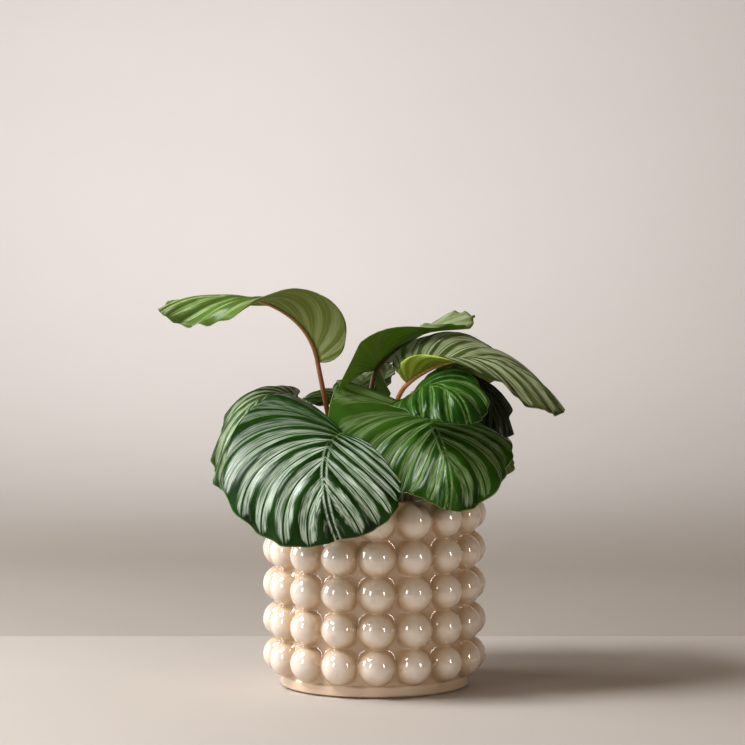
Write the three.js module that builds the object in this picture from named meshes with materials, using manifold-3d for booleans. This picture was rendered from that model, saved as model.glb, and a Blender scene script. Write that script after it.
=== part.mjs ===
// A round-leaf calathea in a glossy bubble pot, in millimetres, +Z up. The origin is the centre of
// the pot's underside and the plant's front faces -Y.
import * as THREE from "three";
import { mergeVertices } from "three/addons/utils/BufferGeometryUtils.js";
import Module from "manifold-3d";

// The pot: a cylinder of cast ceramic whose whole side carries rows of half-round bubbles.
const POT_DIAMETER = 180; // over the bubbles
const POT_HEIGHT = 155;
const BUBBLE_COLUMNS = 16;
const BUBBLE_ROWS = 5;
const BUBBLE_RADIUS = 14.7;
const BUBBLE_TURN = 1.3; // degrees that the front column stands to the right of straight ahead
const INNER_ROUND = 0.45; // the two rounds of points on a bubble, as shares of its radius
const OUTER_ROUND = 0.84;
const ROW_PITCH = 28.6;
const FIRST_ROW_Z = 24.9;
const POT_WALL = 5.5; // thickness between two bubbles
const POT_FLOOR = 8;
const FOOT_INSET = 2.5; // the unglazed foot stands in from the base band
const FOOT_HEIGHT = 1.4;
const BASE_BAND = 0.7; // how far the smooth band below the bubbles stands out from the wall
const BAND_ROUNDING = 1.5;
const RIM_ROUNDING = 1.6;
const WALL_RADIUS = POT_DIAMETER / 2 - BUBBLE_RADIUS;
const INNER_RADIUS = WALL_RADIUS - POT_WALL;
const SPOKES = 2 * BUBBLE_COLUMNS; // one through each column of bubbles and one between two

// The soil fills the pot to just under its rim, with the stalks set in plain holes.
const CLEARANCE = 0.3; // between two pieces that touch
const SOIL_TOP = 139;
const SOIL_LUMP = 1.2; // height of the lumps on its surface
const HOLE_DEPTH = 20;
const HOLE_RADIUS_GAP = 2 * CLEARANCE; // round a stalk, because the hole's sides are flat

// The leaves: a thin blade, and a stalk that runs on under it as the midrib.
const BLADE_THICKNESS = 0.8;
const VEINS = 9; // side veins in each half of a blade
const PLEAT = 0.8; // height of the ridges between the veins
const STALK_RADIUS = 2.6; // at the soil
const NECK_RADIUS = 1.9; // where the stalk meets the blade
const RIB_TIP_RADIUS = 0.6;
const RIB_GAP = 0.6; // between a blade and its midrib
const RIB_STEPS = [0, 3, 5, 7, 9, 11, 13, 15, 17]; // the steps of the blade where its midrib has a ring

// Each leaf, looking along it from its base to its tip with the upper face on top. The foot is the
// place of the stalk in the soil, rise the two points that steer the stalk to the blade, and rib the
// four points of the blade's middle line. Face is the way that the upper face looks at the base, in
// the middle and at the tip. Each half has a width, how far it folds up from the rib and how far it
// curls on its way out, in degrees at the same three places, and taper, the point from which it
// narrows, by how much, and the power of the narrowing. Lobe is how far its base reaches back beside
// the stalk, and sweep how far its widest place moves towards the tip, as shares of the length. Wave
// is the height, the number and the start of the waves in the edge.
const PLAIN_TAPER = [0.8, 0.25, 2];
const LEAVES = [
  {
    name: "leaf_1", // the big striped leaf at the front left
    foot: [-12, -12],
    rise: [[-30, -8, 160], [-46, -38, 196]],
    rib: [[-24, -50, 207], [-41, -88, 210], [-45, -130, 173], [-28, -122, 131]],
    face: [[-0.3, -0.6, 0.7], [-0.2, -0.8, 0.5], [-0.1, -1, 0.3]],
    right: { width: 85, fold: [42, 8, 0], curl: [-35, -25, -25], taper: [0.5, 0.3, 1], lobe: 0.2 },
    left: { width: 60, fold: [-15, -8, 0], curl: [-20, -30, -15], lobe: 0.02, sweep: 0.2 },
    wave: [2, 3, 0.2],
  },
  {
    name: "leaf_2", // the big leaf at the front right
    foot: [24, 0],
    rise: [[26, 4, 170], [39, 6, 222]],
    rib: [[44, -15, 219], [45, -58, 212], [64, -98, 185], [56, -94, 151]],
    face: [[0, -0.6, 0.7], [0.1, -0.8, 0.5], [0.2, -1, 0.3]],
    right: { width: 114, fold: [25, -30, -20], curl: [-10, -25, -45], taper: [0.2, 0.7, 0.7], lobe: 0.14 },
    left: { width: 64, fold: [-5, 0, 0], curl: [-20, -35, -25], taper: [0.45, 0.4, 1], lobe: 0.18 },
    wave: [3, 3, 0.2],
  },
  {
    name: "leaf_3", // the small leaf above it
    foot: [17, -13],
    rise: [[26, 2, 190], [32, 16, 250]],
    rib: [[29, -50, 236], [38, -68, 252], [66, -90, 253], [73, -98, 218]],
    face: [[0, -0.6, 0.8], [0.15, -0.7, 0.6], [0.3, -0.8, 0.4]],
    right: { width: 34, fold: [20, 0, 0], curl: [10, -25, -30], lobe: 0.1 },
    left: { width: 33, fold: [5, -5, -10], curl: [-10, -25, -25], lobe: 0.1 },
    wave: [2, 3, 0.2],
  },
  {
    name: "leaf_4", // the arching leaf at the upper right, its near half folded up at the base
    foot: [5, -15],
    rise: [[7, -4, 180], [12, 6, 230]],
    rib: [[25, -28, 246], [54, -36, 271], [112, -26, 281], [151, -26, 222]],
    face: [[0, -0.5, 0.8], [0.12, -0.4, 0.9], [0.3, -0.2, 1]],
    right: { width: 34, fold: [90, 10, -10], curl: [10, -20, -40], lobe: 0 },
    left: { width: 50, fold: [10, 0, -20], curl: [-10, -30, -45], taper: [0.62, 0.8, 0.8], lobe: 0.1 },
    wave: [3, 3, 0.2],
  },
  {
    name: "leaf_5", // the top leaf, which shows its dark underside
    foot: [4, 6],
    rise: [[0, 2, 180], [-8, 0, 240]],
    rib: [[0, 8, 253], [12, 19, 273], [44, 50, 284], [73, 68, 298]],
    face: [[-0.7, 0.6, 0.25], [-0.45, 0, 0.85], [-0.4, -0.25, 0.85]],
    right: { width: 45, fold: [0, 0, 0], curl: [-10, -10, -10], lobe: 0.46 },
    left: { width: 36, fold: [0, 0, 0], curl: [-10, -25, -15], lobe: 0.4 },
    wave: [2.8, 3, 0.3],
  },
  {
    name: "leaf_6", // the leaf in shadow at the right
    foot: [28, 14],
    rise: [[32, 18, 180], [40, 4, 226]],
    rib: [[53, 20, 235], [79, 19, 252], [98, 17, 242], [101, 8, 195]],
    face: [[0, -0.2, 1], [0.4, -0.4, 0.8], [0.7, -0.6, 0.4]],
    right: { width: 29, fold: [10, 0, 0], curl: [-10, -25, -15], lobe: 0.1 },
    left: { width: 26, fold: [0, 0, 0], curl: [-10, -25, -15], lobe: 0.1 },
    wave: [3, 4, 0.2],
  },
  {
    name: "leaf_7", // the tall leaf that arches over to the left
    foot: [-18, -2],
    rise: [[-30, 2, 180], [-38, 6, 220]],
    rib: [[-44, 5, 260], [-56, 0, 322], [-140, -8, 324], [-172, -18, 303]],
    face: [[0.6, 0.75, 0.1], [-0.1, 0.2, 1], [-0.45, -0.35, 0.8]],
    right: { width: 54, fold: [110, 10, -15], curl: [-10, -10, -5], taper: [0.4, 0.6, 1], lobe: 0 },
    left: { width: 64, fold: [-16, -9, -75], curl: [-5, -5, -15], taper: [0.35, 0.65, 0.8], lobe: 0 },
    wave: [3, 3, 0.2],
  },
  {
    name: "leaf_8", // the leaf that hangs over the rim at the left
    foot: [-26, 8],
    rise: [[-30, 12, 170], [-46, 13, 224]],
    rib: [[-62, 10, 232], [-90, 3, 243], [-108, -8, 232], [-120, -18, 158]],
    face: [[-0.3, -0.3, 0.9], [-0.55, -0.45, 0.55], [-0.85, -0.6, 0.2]],
    right: { width: 34, fold: [0, 0, 0], curl: [-10, -25, -15], lobe: 0.1 },
    left: { width: 26, fold: [0, 0, 0], curl: [-10, -25, -15], lobe: 0.1 },
    wave: [3, 4, 0.2],
  },
  {
    name: "leaf_9", // a small leaf at the back left
    foot: [-12, 18],
    rise: [[-18, 14, 170], [-26, 16, 215]],
    rib: [[-30, 30, 226], [-33, 55, 238], [-38, 80, 240], [-40, 98, 222]],
    face: [[0, -0.2, 1], [-0.15, 0.1, 0.95], [-0.3, 0.5, 0.8]],
    right: { width: 30, fold: [0, 0, 0], curl: [-10, -25, -15], lobe: 0.1 },
    left: { width: 26, fold: [0, 0, 0], curl: [-10, -25, -15], lobe: 0.1 },
    wave: [2, 3, 0.2],
  },
  {
    name: "leaf_10", // a pale leaf behind the top one
    foot: [8, 24],
    rise: [[6, 20, 170], [-10, 12, 216]],
    rib: [[-10, 26, 231], [-12, 48, 242], [-6, 72, 252], [4, 102, 254]],
    face: [[-0.1, -0.2, 1], [-0.1, -0.2, 1], [0, -0.1, 1]],
    right: { width: 22, fold: [0, 0, 0], curl: [-10, -25, -15], lobe: 0.1 },
    left: { width: 26, fold: [0, 0, 0], curl: [-10, -25, -15], lobe: 0.1 },
    wave: [2, 3, 0.2],
  },
  {
    name: "leaf_11", // the leaf below the arching one at the upper right
    foot: [18, 18],
    rise: [[22, 22, 170], [38, 30, 218]],
    rib: [[46, 36, 236], [58, 42, 256], [84, 48, 262], [104, 52, 245]],
    face: [[0, 0.6, 0.7], [0.1, 0.75, 0.65], [0.3, 0.6, 0.6]],
    right: { width: 16, fold: [0, 0, 0], curl: [-10, -25, -15], lobe: 0.1 },
    left: { width: 30, fold: [0, 0, 0], curl: [-10, -25, -15], lobe: 0.1 },
    wave: [2, 3, 0.2],
  },
  {
    name: "leaf_12", // the back left leaf
    foot: [-20, 26],
    rise: [[-24, 28, 165], [-26, 24, 205]],
    rib: [[-34, 34, 205], [-62, 62, 222], [-88, 92, 206], [-92, 104, 160]],
    face: [[0, 0.1, 1], [-0.3, 0.4, 0.6], [-0.6, 0.7, 0.2]],
    right: { width: 40, fold: [5, 0, 0], curl: [-10, -25, -15], lobe: 0.12 },
    left: { width: 40, fold: [5, 0, 0], curl: [-10, -25, -15], lobe: 0.12 },
    wave: [3, 4, 0.5],
  },
  {
    name: "leaf_13", // the back leaf
    foot: [0, 32],
    rise: [[0, 32, 165], [2, 30, 208]],
    rib: [[2, 44, 214], [4, 84, 234], [2, 120, 216], [-2, 122, 160]],
    face: [[0, 0, 1], [0, 0.5, 0.6], [0, 1, 0.2]],
    right: { width: 36, fold: [5, 0, 0], curl: [-10, -25, -15], lobe: 0.12 },
    left: { width: 36, fold: [5, 0, 0], curl: [-10, -25, -15], lobe: 0.12 },
    wave: [3, 4, 0.1],
  },
  {
    name: "leaf_14", // the back right leaf
    foot: [24, 28],
    rise: [[30, 34, 165], [36, 34, 196]],
    rib: [[40, 46, 202], [66, 74, 218], [93, 94, 202], [97, 102, 156]],
    face: [[0, 0.1, 1], [0.3, 0.4, 0.6], [0.6, 0.7, 0.2]],
    right: { width: 40, fold: [5, 0, 0], curl: [-10, -25, -15], lobe: 0.12 },
    left: { width: 40, fold: [5, 0, 0], curl: [-10, -25, -15], lobe: 0.12 },
    wave: [3, 4, 0.8],
  },
];

const wasm = await Module();
wasm.setup();

const radians = THREE.MathUtils.degToRad;
const clamp = THREE.MathUtils.clamp;
const vector = ([x, y, z]) => new THREE.Vector3(x, y, z);

// A value given at the base, the middle and the tip, eased between them.
function between([base, middle, tip], s) {
  return base * (1 - s) * (1 - 2 * s) + 4 * middle * s * (1 - s) + tip * s * (2 * s - 1);
}

// A closed geometry from points and triples of their numbers.
function geometryOf(points, triangles) {
  const geometry = new THREE.BufferGeometry().setFromPoints(points);
  geometry.setIndex(triangles);
  return geometry;
}

// The middle line of a blade, with the way along it, the way up and the way to its right.
class Rib {
  constructor(leaf) {
    this.curve = new THREE.CubicBezierCurve3(...leaf.rib.map(vector));
    this.length = this.curve.getLength();
    this.face = leaf.face.map((f) => vector(f).normalize());
  }

  at(s) {
    const inside = clamp(s, 0, 1);
    const along = this.curve.getTangentAt(inside);
    const point = this.curve.getPointAt(inside).addScaledVector(along, (s - inside) * this.length);
    const up = new THREE.Vector3(
      between(this.face.map((f) => f.x), inside),
      between(this.face.map((f) => f.y), inside),
      between(this.face.map((f) => f.z), inside),
    );
    up.addScaledVector(along, -up.dot(along)).normalize();
    return { point, along, up, right: along.clone().cross(up) };
  }
}

// How far along the rib the side vein leaves it, closer together towards the base.
function rootShare(v) {
  return 0.93 * v ** 1.6 + 0.07 * v ** 6;
}

// The flat outline of half a blade: the place reached at share t of the way along the side vein
// that leaves the rib at v, as x out from the rib and y along it.
function flatHalf(half, length, v, t) {
  const { width, lobe, taper = PLAIN_TAPER, sweep = 0 } = half;
  const m = v ** 0.52;
  const [start, amount, power] = taper;
  const narrowing = 1 - amount * clamp((m - start) / (1 - start), 0, 1) ** power;
  const edgeX = width * Math.sin(Math.PI * m) ** 0.78 * narrowing;
  const notch = lobe * Math.sin(Math.PI * clamp(m / 0.45, 0, 1)) ** 1.5;
  const forward = (0.5 - 0.5 * Math.cos(Math.PI * m)) ** 1.02 + sweep * Math.sin(Math.PI * m);
  const edgeY = length * (forward - notch);
  const rootY = length * rootShare(v);
  const bendY = rootY + 0.4 * (edgeY - rootY);
  const k = 1 - t;
  return [(2 * t * k * 0.84 + t * t) * edgeX, k * k * rootY + 2 * t * k * bendY + t * t * edgeY];
}

// The same place on the real blade, folded at the rib, curled, pleated and waved at its edge.
function bladePoint(leaf, rib, side, v, t) {
  const half = side > 0 ? leaf.right : leaf.left;
  const [x, y] = flatHalf(half, rib.length, v, t);
  const s = y / rib.length;
  const frame = rib.at(s);
  const inside = clamp(s, 0, 1);
  const fold = radians(between(half.fold, inside));
  const bend = radians(between(half.curl, inside)) / half.width || 1e-5;
  const angle = fold + bend * x;
  const [height, count, start] = leaf.wave;
  const phase = 2 * Math.PI * (count * v + start + (side < 0 ? 0.4 : 0));
  const wave = height * t ** 2.5 * Math.sin(phase) * Math.sin(Math.PI * v) ** 0.3;
  const pleat = -PLEAT * 4 * t * (1 - t) * Math.cos(2 * Math.PI * VEINS * v) * clamp(v / 0.1, 0, 1);
  const out = (Math.sin(angle) - Math.sin(fold)) / bend - Math.sin(angle) * (wave + pleat);
  const lift = (Math.cos(fold) - Math.cos(angle)) / bend + Math.cos(angle) * (wave + pleat);
  return frame.point.addScaledVector(frame.right, side * out).addScaledVector(frame.up, lift);
}

// A blade: one sheet from both halves, with a crest or a valley at each step, given its thickness.
function blade(leaf, rib) {
  const steps = 2 * VEINS;
  const across = [0, 0.35, 0.7, 1];
  const points = [bladePoint(leaf, rib, 1, 0, 0), bladePoint(leaf, rib, 1, 1, 0)];
  const place = new Map();
  const number = (side, i, j) => {
    if (i === 0) return 0;
    if (i === steps) return 1;
    const key = [j === 0 ? 0 : side, i, j].join();
    if (!place.has(key)) {
      place.set(key, points.length);
      points.push(bladePoint(leaf, rib, side, i / steps, across[j]));
    }
    return place.get(key);
  };
  const sheet = [];
  const face = (side, a, b, c) => {
    if (a === b || b === c || c === a) return;
    sheet.push(...(side > 0 ? [a, b, c] : [a, c, b]));
  };
  for (const side of [1, -1])
    for (let i = 0; i < steps; i++)
      for (let j = 0; j < across.length - 1; j++) {
        const corner = [number(side, i, j), number(side, i, j + 1)];
        const next = [number(side, i + 1, j), number(side, i + 1, j + 1)];
        face(side, corner[0], corner[1], next[1]);
        face(side, corner[0], next[1], next[0]);
      }
  const last = across.length - 1;
  const edge = [];
  for (let i = 0; i < steps; i++) edge.push(number(1, i, last));
  for (let i = steps; i > 0; i--) edge.push(number(-1, i, last));
  return thickened(points, sheet, edge);
}

// A sheet given its thickness, with a wall round its edge.
function thickened(points, sheet, edge) {
  const flat = geometryOf(points, sheet);
  flat.computeVertexNormals();
  const normal = flat.getAttribute("normal");
  const count = points.length;
  const outward = (i) => new THREE.Vector3().fromBufferAttribute(normal, i);
  const shifted = (by) => points.map((p, i) => p.clone().addScaledVector(outward(i), by));
  const solid = [...shifted(BLADE_THICKNESS / 2), ...shifted(-BLADE_THICKNESS / 2)];
  const triangles = [...sheet];
  for (let i = 0; i < sheet.length; i += 3)
    triangles.push(sheet[i] + count, sheet[i + 2] + count, sheet[i + 1] + count);
  edge.forEach((a, i) => {
    const b = edge[(i + 1) % edge.length];
    triangles.push(a, a + count, b + count, a, b + count, b);
  });
  return geometryOf(solid, triangles);
}

// A round bar of changing radius along a list of points, closed at both ends.
function bar(path, radii, sides) {
  const ahead = path.map((p, i) => {
    const from = path[Math.max(i - 1, 0)];
    return path[Math.min(i + 1, path.length - 1)].clone().sub(from).normalize();
  });
  const first = new THREE.Vector3(1, 0, 0);
  const points = [];
  path.forEach((centre, i) => {
    first.addScaledVector(ahead[i], -first.dot(ahead[i])).normalize();
    const second = ahead[i].clone().cross(first);
    for (let k = 0; k < sides; k++) {
      const turn = (2 * Math.PI * k) / sides;
      points.push(
        centre
          .clone()
          .addScaledVector(first, radii[i] * Math.cos(turn))
          .addScaledVector(second, radii[i] * Math.sin(turn)),
      );
    }
  });
  const triangles = [];
  for (let i = 0; i < path.length - 1; i++)
    for (let k = 0; k < sides; k++) {
      const a = i * sides + k;
      const b = i * sides + ((k + 1) % sides);
      triangles.push(a, b, b + sides, a, b + sides, a + sides);
    }
  const end = (path.length - 1) * sides;
  for (let k = 1; k < sides - 1; k++) {
    triangles.push(0, k + 1, k);
    triangles.push(end, end + k, end + k + 1);
  }
  return geometryOf(points, triangles);
}

// A stalk: straight in its hole, then bending to the blade and on as its midrib, which lies midway
// between the undersides of the two halves.
function stalk(leaf, rib) {
  const sides = 6;
  const stalkSteps = 7;
  const below = (s, radius) => {
    const frame = rib.at(s);
    const right = radians(between(leaf.right.fold, s));
    const left = radians(between(leaf.left.fold, s));
    const room = Math.min((Math.PI + right + left) / 2, Math.PI / 2);
    const depth = (BLADE_THICKNESS / 2 + RIB_GAP + radius) / Math.sin(room);
    const tilt = (right - left) / 2;
    return frame.point
      .addScaledVector(frame.up, -depth * Math.cos(tilt))
      .addScaledVector(frame.right, depth * Math.sin(tilt));
  };
  const [x, y] = leaf.foot;
  const path = [new THREE.Vector3(x, y, SOIL_TOP - HOLE_DEPTH + CLEARANCE)];
  const radii = [STALK_RADIUS];
  const start = new THREE.Vector3(x, y, SOIL_TOP + 2 * SOIL_LUMP + CLEARANCE);
  const neck = below(0, NECK_RADIUS);
  const rising = new THREE.CubicBezierCurve3(start, ...leaf.rise.map(vector), neck);
  for (let i = 0; i < stalkSteps; i++) {
    const share = i / stalkSteps;
    path.push(rising.getPointAt(share));
    radii.push(THREE.MathUtils.lerp(STALK_RADIUS, NECK_RADIUS, share));
  }
  for (const step of RIB_STEPS) {
    const share = rootShare(step / (2 * VEINS));
    const radius = THREE.MathUtils.lerp(NECK_RADIUS, RIB_TIP_RADIUS, share);
    path.push(below(share, radius));
    radii.push(radius);
  }
  return bar(path, radii, sides);
}

// Points on rings round the Z axis, and triangles between them.
class Rings {
  constructor() {
    this.points = [];
    this.triangles = [];
  }

  // The direction of a spoke. The even ones run between two columns of bubbles.
  turn(spoke) {
    return radians(BUBBLE_TURN - 90) + ((spoke - 1) * Math.PI) / BUBBLE_COLUMNS;
  }

  point(radius, turn, z) {
    const x = radius * Math.cos(turn);
    const y = radius * Math.sin(turn);
    return this.points.push(new THREE.Vector3(x, y, z)) - 1;
  }

  // A ring whose points stand out further where a column of bubbles is.
  ring(radius, z, swell = 0) {
    const place = (_, spoke) => this.point(radius + (spoke % 2) * swell, this.turn(spoke), z);
    return Array.from({ length: SPOKES }, place);
  }

  strip(lower, upper) {
    for (let k = 0; k < SPOKES; k++) {
      const n = (k + 1) % SPOKES;
      this.triangles.push(lower[k], lower[n], upper[n], lower[k], upper[n], upper[k]);
    }
  }

  disc(edge, z, looksUp) {
    const centre = this.point(0, 0, z);
    for (let k = 0; k < SPOKES; k++) {
      const n = (k + 1) % SPOKES;
      this.triangles.push(...(looksUp ? [centre, edge[k], edge[n]] : [centre, edge[n], edge[k]]));
    }
  }

  geometry() {
    return geometryOf(this.points, this.triangles);
  }
}

// The height of a bubble above the wall at a distance from its middle.
function dome(distance) {
  return Math.sqrt(Math.max(0, BUBBLE_RADIUS ** 2 - distance ** 2));
}

// One bubble in its cell between two rings: its crown, two rounds of points on its dome, a round
// along its foot, and the four corners of the cell. sideMiddle gives the point that two bubbles of
// a row share.
function bubble(rings, spoke, z, lower, upper, sideMiddle) {
  const sides = 8;
  const left = spoke - 1;
  const right = (spoke + 1) % SPOKES;
  const place = (distance, k) => {
    const bearing = (2 * Math.PI * k) / sides;
    const turn = rings.turn(spoke) + (distance * Math.cos(bearing)) / WALL_RADIUS;
    return rings.point(WALL_RADIUS + dome(distance), turn, z + distance * Math.sin(bearing));
  };
  const round = (share) => Array.from({ length: sides }, (_, k) => place(share * BUBBLE_RADIUS, k));
  const crown = rings.point(WALL_RADIUS + BUBBLE_RADIUS, rings.turn(spoke), z);
  const inner = round(INNER_ROUND);
  const outer = round(OUTER_ROUND);
  const diagonals = [1, 3, 5, 7].map((k) => place(BUBBLE_RADIUS, k));
  const middles = [sideMiddle(right, z), upper[spoke], sideMiddle(left, z), lower[spoke]];
  const corners = [upper[right], upper[left], lower[left], lower[right]];
  const foot = middles.flatMap((middle, q) => [middle, diagonals[q]]);
  for (let k = 0; k < sides; k++) {
    const n = (k + 1) % sides;
    rings.triangles.push(crown, inner[k], inner[n]);
    rings.triangles.push(inner[k], outer[k], outer[n], inner[k], outer[n], inner[n]);
    rings.triangles.push(outer[k], foot[k], foot[n], outer[k], foot[n], outer[n]);
  }
  corners.forEach((corner, q) => {
    rings.triangles.push(corner, diagonals[q], middles[q]);
    rings.triangles.push(corner, middles[(q + 1) % 4], diagonals[q]);
  });
}

// The pot: rings from its underside up over the foot, the base band, the bubbles and the rim, and
// down the inside to the floor.
function pot() {
  const rings = new Rings();
  const shared = new Map();
  const sideMiddle = (spoke, z) => {
    const key = [spoke, z].join();
    if (!shared.has(key)) shared.set(key, rings.point(WALL_RADIUS, rings.turn(spoke), z));
    return shared.get(key);
  };
  const bottomEdge = FIRST_ROW_Z - ROW_PITCH / 2;
  const topEdge = bottomEdge + BUBBLE_ROWS * ROW_PITCH;
  const foot = rings.ring(WALL_RADIUS - FOOT_INSET, 0);
  rings.disc(foot, 0, false);
  let below = foot;
  const rise = (radius, z, swell) => {
    const above = rings.ring(radius, z, swell);
    rings.strip(below, above);
    below = above;
  };
  rise(WALL_RADIUS - FOOT_INSET, FOOT_HEIGHT);
  rise(WALL_RADIUS + BASE_BAND, FOOT_HEIGHT);
  rise(WALL_RADIUS + BASE_BAND, bottomEdge - BAND_ROUNDING);
  rise(WALL_RADIUS, bottomEdge, dome(ROW_PITCH / 2));
  for (let row = 0; row < BUBBLE_ROWS; row++) {
    const above = rings.ring(WALL_RADIUS, bottomEdge + (row + 1) * ROW_PITCH, dome(ROW_PITCH / 2));
    for (let column = 0; column < BUBBLE_COLUMNS; column++)
      bubble(rings, 2 * column + 1, FIRST_ROW_Z + row * ROW_PITCH, below, above, sideMiddle);
    below = above;
  }
  rise(WALL_RADIUS, topEdge + CLEARANCE);
  rise(WALL_RADIUS - RIM_ROUNDING, POT_HEIGHT);
  rise(INNER_RADIUS + RIM_ROUNDING, POT_HEIGHT);
  rise(INNER_RADIUS, POT_HEIGHT - RIM_ROUNDING);
  rise(INNER_RADIUS, POT_FLOOR);
  rings.disc(below, POT_FLOOR, true);
  return rings.geometry();
}

// A geometry as a solid that can be cut, and a cut solid as a geometry.
function solidFrom(geometry) {
  const bare = geometry.clone();
  bare.deleteAttribute("normal");
  bare.deleteAttribute("uv");
  const merged = mergeVertices(bare);
  return new wasm.Manifold(
    new wasm.Mesh({
      numProp: 3,
      vertProperties: merged.getAttribute("position").array,
      triVerts: new Uint32Array(merged.getIndex().array),
    }),
  );
}

function geometryFrom(solid) {
  const mesh = solid.getMesh();
  const geometry = new THREE.BufferGeometry();
  geometry.setAttribute("position", new THREE.BufferAttribute(mesh.vertProperties, 3));
  geometry.setIndex(new THREE.BufferAttribute(mesh.triVerts, 1));
  return geometry;
}

// The soil: a plug that fills the pot, lumpy on top, with a hole for each stalk.
function soil() {
  const rings = new Rings();
  const radius = INNER_RADIUS - CLEARANCE;
  const bottom = rings.ring(radius, POT_FLOOR + CLEARANCE);
  rings.disc(bottom, POT_FLOOR + CLEARANCE, false);
  const tops = [1, 0.75, 0.5, 0.25].map((share) => rings.ring(share * radius, SOIL_TOP));
  rings.strip(bottom, tops[0]);
  for (let i = 1; i < tops.length; i++) rings.strip(tops[i - 1], tops[i]);
  rings.disc(tops[tops.length - 1], SOIL_TOP, true);
  for (const point of rings.points)
    if (point.z === SOIL_TOP) point.z += SOIL_LUMP * Math.sin(point.x / 7 + 1) * Math.cos(point.y / 6);
  let solid = solidFrom(rings.geometry());
  const height = HOLE_DEPTH + 10;
  const width = STALK_RADIUS + HOLE_RADIUS_GAP;
  for (const { foot } of LEAVES) {
    const hole = new THREE.CylinderGeometry(width, width, height, 8);
    hole.rotateX(Math.PI / 2);
    hole.translate(foot[0], foot[1], SOIL_TOP - HOLE_DEPTH + height / 2);
    solid = solid.subtract(solidFrom(hole));
  }
  return geometryFrom(solid);
}

const glaze = new THREE.MeshStandardMaterial({ color: 0xe4d6c6, roughness: 0.15, metalness: 0 });
const earth = new THREE.MeshStandardMaterial({ color: 0x2e241c, roughness: 1, metalness: 0 });
const leafGreen = new THREE.MeshStandardMaterial({ color: 0x3f6b3a, roughness: 0.5, metalness: 0 });
const stalkBrown = new THREE.MeshStandardMaterial({ color: 0x9a6a45, roughness: 0.55, metalness: 0 });

const plant = new THREE.Group();
function place(name, geometry, material) {
  const mesh = new THREE.Mesh(geometry, material);
  mesh.name = name;
  plant.add(mesh);
}

place("pot", pot(), glaze);
place("soil", soil(), earth);
for (const leaf of LEAVES) {
  const rib = new Rib(leaf);
  place(leaf.name + "_blade", blade(leaf, rib), leafGreen);
  place(leaf.name + "_stalk", stalk(leaf, rib), stalkBrown);
}

export default plant;
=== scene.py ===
import math

import bpy
import numpy as np
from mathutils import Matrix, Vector, noise


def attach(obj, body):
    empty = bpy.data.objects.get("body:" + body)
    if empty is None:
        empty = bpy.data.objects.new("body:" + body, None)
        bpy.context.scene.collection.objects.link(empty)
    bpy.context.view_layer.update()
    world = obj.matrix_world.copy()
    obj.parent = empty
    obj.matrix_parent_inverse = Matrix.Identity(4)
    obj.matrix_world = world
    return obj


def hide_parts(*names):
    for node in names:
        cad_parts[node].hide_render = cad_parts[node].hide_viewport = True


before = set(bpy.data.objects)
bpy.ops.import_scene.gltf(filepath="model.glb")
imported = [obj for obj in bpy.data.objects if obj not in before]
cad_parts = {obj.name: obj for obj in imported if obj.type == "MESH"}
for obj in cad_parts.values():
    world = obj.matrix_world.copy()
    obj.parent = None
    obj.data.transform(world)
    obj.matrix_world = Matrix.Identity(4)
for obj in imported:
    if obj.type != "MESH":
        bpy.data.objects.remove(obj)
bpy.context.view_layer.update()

# ---- The pot
# A planter of slip-cast earthenware. Its whole side is rows of half-round bubbles from the mould,
# and it is dipped in a cream glaze that runs off the crowns and pools in the grooves. Its foot is
# wiped bare so that it can stand in the kiln.
MM = 0.001  # metres; every other size of the plant is in millimetres
POT_HEIGHT = 155
COLUMNS = 16
ROWS = 5
BUBBLE_RADIUS = 14.7
BUBBLE_TURN = 1.3  # degrees that the front column stands to the right of straight ahead
ROW_PITCH = 28.6
FIRST_ROW_Z = 24.9
WALL_RADIUS = 75.3
INNER_RADIUS = 69.8
POT_FLOOR = 8
FLOOR_ROUND = 2  # where the floor turns up into the wall
FOOT_RADIUS = 72.8
FOOT_HEIGHT = 1.4
BAND = 0.7  # how far the smooth band at the base stands out from the wall
BAND_TOP = 9.4
BAND_EDGE = 0.4  # height over which the glaze softens the band's step
LIP_ROUND = 1.6  # height of the round on the lip's inner side
POOLING = 1.1  # how far the glaze rounds out the grooves
HALVINGS = 26  # these find the glazed side to a millionth of a millimetre
COLUMN_TURN = 2 * math.pi / COLUMNS


def side_radius(turn, z):
    """The radius of the glazed side. Turn is measured from a column of bubbles. Bubbles and wall
    are melted into each other, so that each groove is filled with a round of glaze."""
    # The surface lies between these two, which close in on it.
    low = np.full(np.shape(turn), WALL_RADIUS - 3)
    high = np.full(np.shape(turn), WALL_RADIUS + BUBBLE_RADIUS + 2)
    wall = WALL_RADIUS + BAND / (1 + np.exp((z - BAND_TOP) / BAND_EDGE))
    for _ in range(HALVINGS):
        middle = (low + high) / 2
        near = np.exp(-(middle - wall) / POOLING)
        for column in (-1, 0, 1):
            for row in range(ROWS):
                beside = turn - column * COLUMN_TURN
                above = z - FIRST_ROW_Z - row * ROW_PITCH
                across = middle**2 + WALL_RADIUS**2 - 2 * middle * WALL_RADIUS * np.cos(beside)
                near = near + np.exp((BUBBLE_RADIUS - np.sqrt(across + above**2)) / POOLING)
        inside = near > 1
        low = np.where(inside, middle, low)
        high = np.where(inside, high, middle)
    return (low + high) / 2


def round_axis(radius, turn, z):
    """Points at a radius, a turn and a height round the pot's axis."""
    return np.stack([radius * np.cos(turn), radius * np.sin(turn), z], axis=-1)


def sheet(numbers, closed=False, flip=False):
    """The four-cornered faces of a grid of point numbers, closed to a ring if asked."""
    if closed:
        numbers = np.concatenate([numbers, numbers[:, :1]], axis=1)
    a, b, c, d = numbers[:-1, :-1], numbers[:-1, 1:], numbers[1:, 1:], numbers[1:, :-1]
    faces = np.stack([a, d, c, b] if flip else [a, b, c, d], axis=-1)
    return faces.reshape(-1, 4).tolist()


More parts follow.
